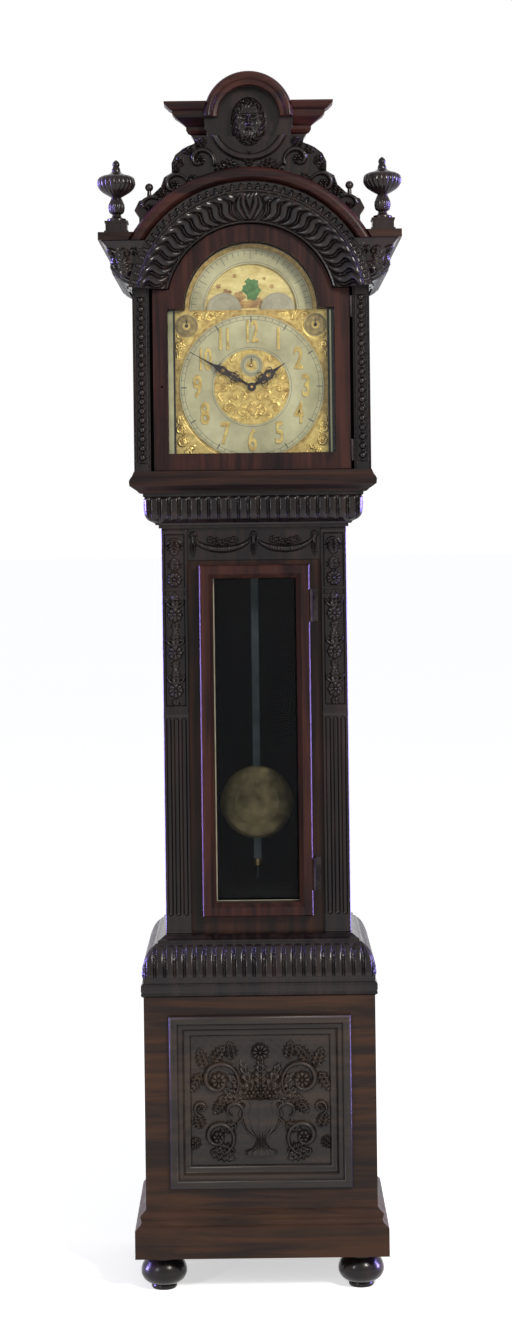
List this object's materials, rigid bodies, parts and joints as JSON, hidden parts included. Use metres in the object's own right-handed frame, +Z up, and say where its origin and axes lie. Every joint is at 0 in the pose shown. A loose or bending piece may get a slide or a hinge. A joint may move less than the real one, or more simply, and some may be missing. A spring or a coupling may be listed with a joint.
{
  "type": "longcase clock",
  "caption": "Tall weight-driven longcase clock in carved dark oak with a break-arch hood, moon dial, glazed trunk door, visible pendulum and panelled base.",
  "frame": {"origin": "on the floor under the middle of the clock's bounding box", "axes": "+Z up, -Y is the dial side, +X to the right as seen from the front"},
  "size_m": [0.651, 0.45, 2.615],
  "materials": {
    "dark_oak": "polished, near black",
    "red_oak": "polished, reddish brown",
    "glass": "clear",
    "brass": "aged, satin",
    "bell_metal": "satin",
    "silvered": "silvered, satin",
    "blued_steel": "dark, satin",
    "steel": "satin",
    "painted_disc": "painted, satin",
    "weight_iron": "cased, dark"
  },
  "bodies": {
    "case": {"bun_feet": "dark_oak", "plinth_moulding": "dark_oak", "base_carcase": "dark_oak", "base_front_frame": "dark_oak", "base_panel_moulding": "dark_oak", "base_carved_panel": "dark_oak", "waist_moulding": "dark_oak", "trunk_sides": "dark_oak", "backboard": "dark_oak", "trunk_front_frame": "dark_oak", "trunk_pilasters": "dark_oak", "trunk_swag_frieze": "dark_oak", "throat_moulding": "dark_oak", "seatboard": "dark_oak", "trunk_hinge_fixed_leaves": "brass", "dial_plate": "brass", "chapter_ring": "silvered", "dial_small_rings": "silvered", "dial_spandrels": "brass", "movement_frame": "brass", "chime_bells": "bell_metal"},
    "trunk_door": {"trunk_door_frame": "red_oak", "trunk_door_glass": "glass", "trunk_hinge_door_leaves": "brass"},
    "hood": {"hood_base_moulding": "dark_oak", "hood_sides": "dark_oak", "hood_front_frame": "dark_oak", "hood_columns": "dark_oak", "hood_capitals": "dark_oak", "hood_side_cornices": "dark_oak", "hood_arch_frieze": "dark_oak", "hood_arch_cornice": "red_oak", "hood_roof": "dark_oak", "crest_panel": "dark_oak", "crest_cornice": "red_oak", "crest_mask": "dark_oak", "finials": "dark_oak", "hood_hinge_fixed_leaves": "brass"},
    "hood_door": {"hood_door_frame": "red_oak", "hood_door_glass": "glass", "hood_hinge_door_leaves": "brass"},
    "centre": {"centre_wheel": "brass", "minute_hand": "blued_steel"},
    "hour": {"hour_hand": "blued_steel"},
    "third": {"third_wheel": "brass"},
    "escape": {"escape_wheel": "brass", "seconds_hand": "blued_steel"},
    "going": {"going_barrel": "brass"},
    "strike": {"strike_barrel": "brass"},
    "chime": {"chime_barrel": "brass"},
    "moon": {"moon_disc": "painted_disc"},
    "anchor": {"pallets": "steel"},
    "pendulum": {"pendulum_rod": "steel", "pendulum_bob": "brass"},
    "nut": {"rating_nut": "brass"},
    "strike_select": {"strike_pointer": "blued_steel"},
    "chime_select": {"chime_pointer": "blued_steel"},
    "going_drive": {"going_weight": "weight_iron"},
    "strike_drive": {"strike_weight": "weight_iron"},
    "chime_drive": {"chime_weight": "weight_iron"}
  },
  "joints": [
    {"name": "hood_slide", "type": "slide", "parent": "case", "child": "hood", "axis": [0, -1, 0], "range_m": [0, 0.34]},
    {"name": "hood_door_hinge", "type": "hinge", "parent": "hood", "child": "hood_door", "pos_m": [0.2155, -0.1525, 1.95], "axis": [0, 0, 1], "range_deg": [0, 100]},
    {"name": "trunk_door_hinge", "type": "hinge", "parent": "case", "child": "trunk_door", "pos_m": [0.123, -0.114, 1.18], "axis": [0, 0, 1], "range_deg": [0, 110]},
    {"name": "pendulum_swing", "type": "hinge", "parent": "case", "child": "pendulum", "pos_m": [0, 0.018, 2.02333], "axis": [0, 1, 0], "range_deg": [-3, 3]},
    {"name": "pallet_rock", "type": "hinge", "parent": "case", "child": "anchor", "pos_m": [0, -0.0145, 2.02333], "axis": [0, 1, 0], "range_deg": [-3, 3]},
    {"name": "minute_turn", "type": "hinge", "parent": "case", "child": "centre", "pos_m": [0, -0.0765, 1.94775], "axis": [0, 1, 0], "continuous": true},
    {"name": "hour_turn", "type": "hinge", "parent": "case", "child": "hour", "pos_m": [0, -0.08, 1.94775], "axis": [0, 1, 0], "continuous": true},
    {"name": "third_turn", "type": "hinge", "parent": "case", "child": "third", "pos_m": [0.01132, -0.0765, 1.97433], "axis": [0, 1, 0], "continuous": true},
    {"name": "escape_turn", "type": "hinge", "parent": "case", "child": "escape", "pos_m": [0, -0.0765, 1.99505], "axis": [0, 1, 0], "continuous": true},
    {"name": "going_barrel_turn", "type": "hinge", "parent": "case", "child": "going", "pos_m": [0, -0.0765, 1.89877], "axis": [0, 1, 0], "continuous": true},
    {"name": "strike_barrel_turn", "type": "hinge", "parent": "case", "child": "strike", "pos_m": [-0.074, -0.0765, 1.94775], "axis": [0, 1, 0], "continuous": true},
    {"name": "chime_barrel_turn", "type": "hinge", "parent": "case", "child": "chime", "pos_m": [0.074, -0.0765, 1.94775], "axis": [0, 1, 0], "continuous": true},
    {"name": "moon_turn", "type": "hinge", "parent": "case", "child": "moon", "pos_m": [0, -0.099, 2.11775], "axis": [0, 1, 0], "continuous": true},
    {"name": "rating_nut_turn", "type": "hinge", "parent": "pendulum", "child": "nut", "pos_m": [0, 0.018, 0.9], "axis": [0, 0, 1], "continuous": true},
    {"name": "strike_pointer_turn", "type": "hinge", "parent": "case", "child": "strike_select", "pos_m": [-0.14, -0.1047, 2.08175], "axis": [0, 1, 0], "range_deg": [-60, 60]},
    {"name": "chime_pointer_turn", "type": "hinge", "parent": "case", "child": "chime_select", "pos_m": [0.14, -0.1047, 2.08175], "axis": [0, 1, 0], "range_deg": [-60, 60]},
    {"name": "going_weight_run", "type": "slide", "parent": "case", "child": "going_drive", "axis": [0, 0, -1], "range_m": [0, 1]},
    {"name": "strike_weight_run", "type": "slide", "parent": "case", "child": "strike_drive", "axis": [0, 0, -1], "range_m": [0, 1]},
    {"name": "chime_weight_run", "type": "slide", "parent": "case", "child": "chime_drive", "axis": [0, 0, -1], "range_m": [0, 1]}
  ],
  "couplings": [
    {"joint": "hour_turn", "follows": "minute_turn", "ratio": 0.083333},
    {"joint": "third_turn", "follows": "minute_turn", "ratio": -8},
    {"joint": "escape_turn", "follows": "minute_turn", "ratio": 60},
    {"joint": "going_barrel_turn", "follows": "minute_turn", "ratio": -0.083333},
    {"joint": "moon_turn", "follows": "minute_turn", "ratio": 0.00070547},
    {"joint": "pallet_rock", "follows": "pendulum_swing", "ratio": 1}
  ]
}
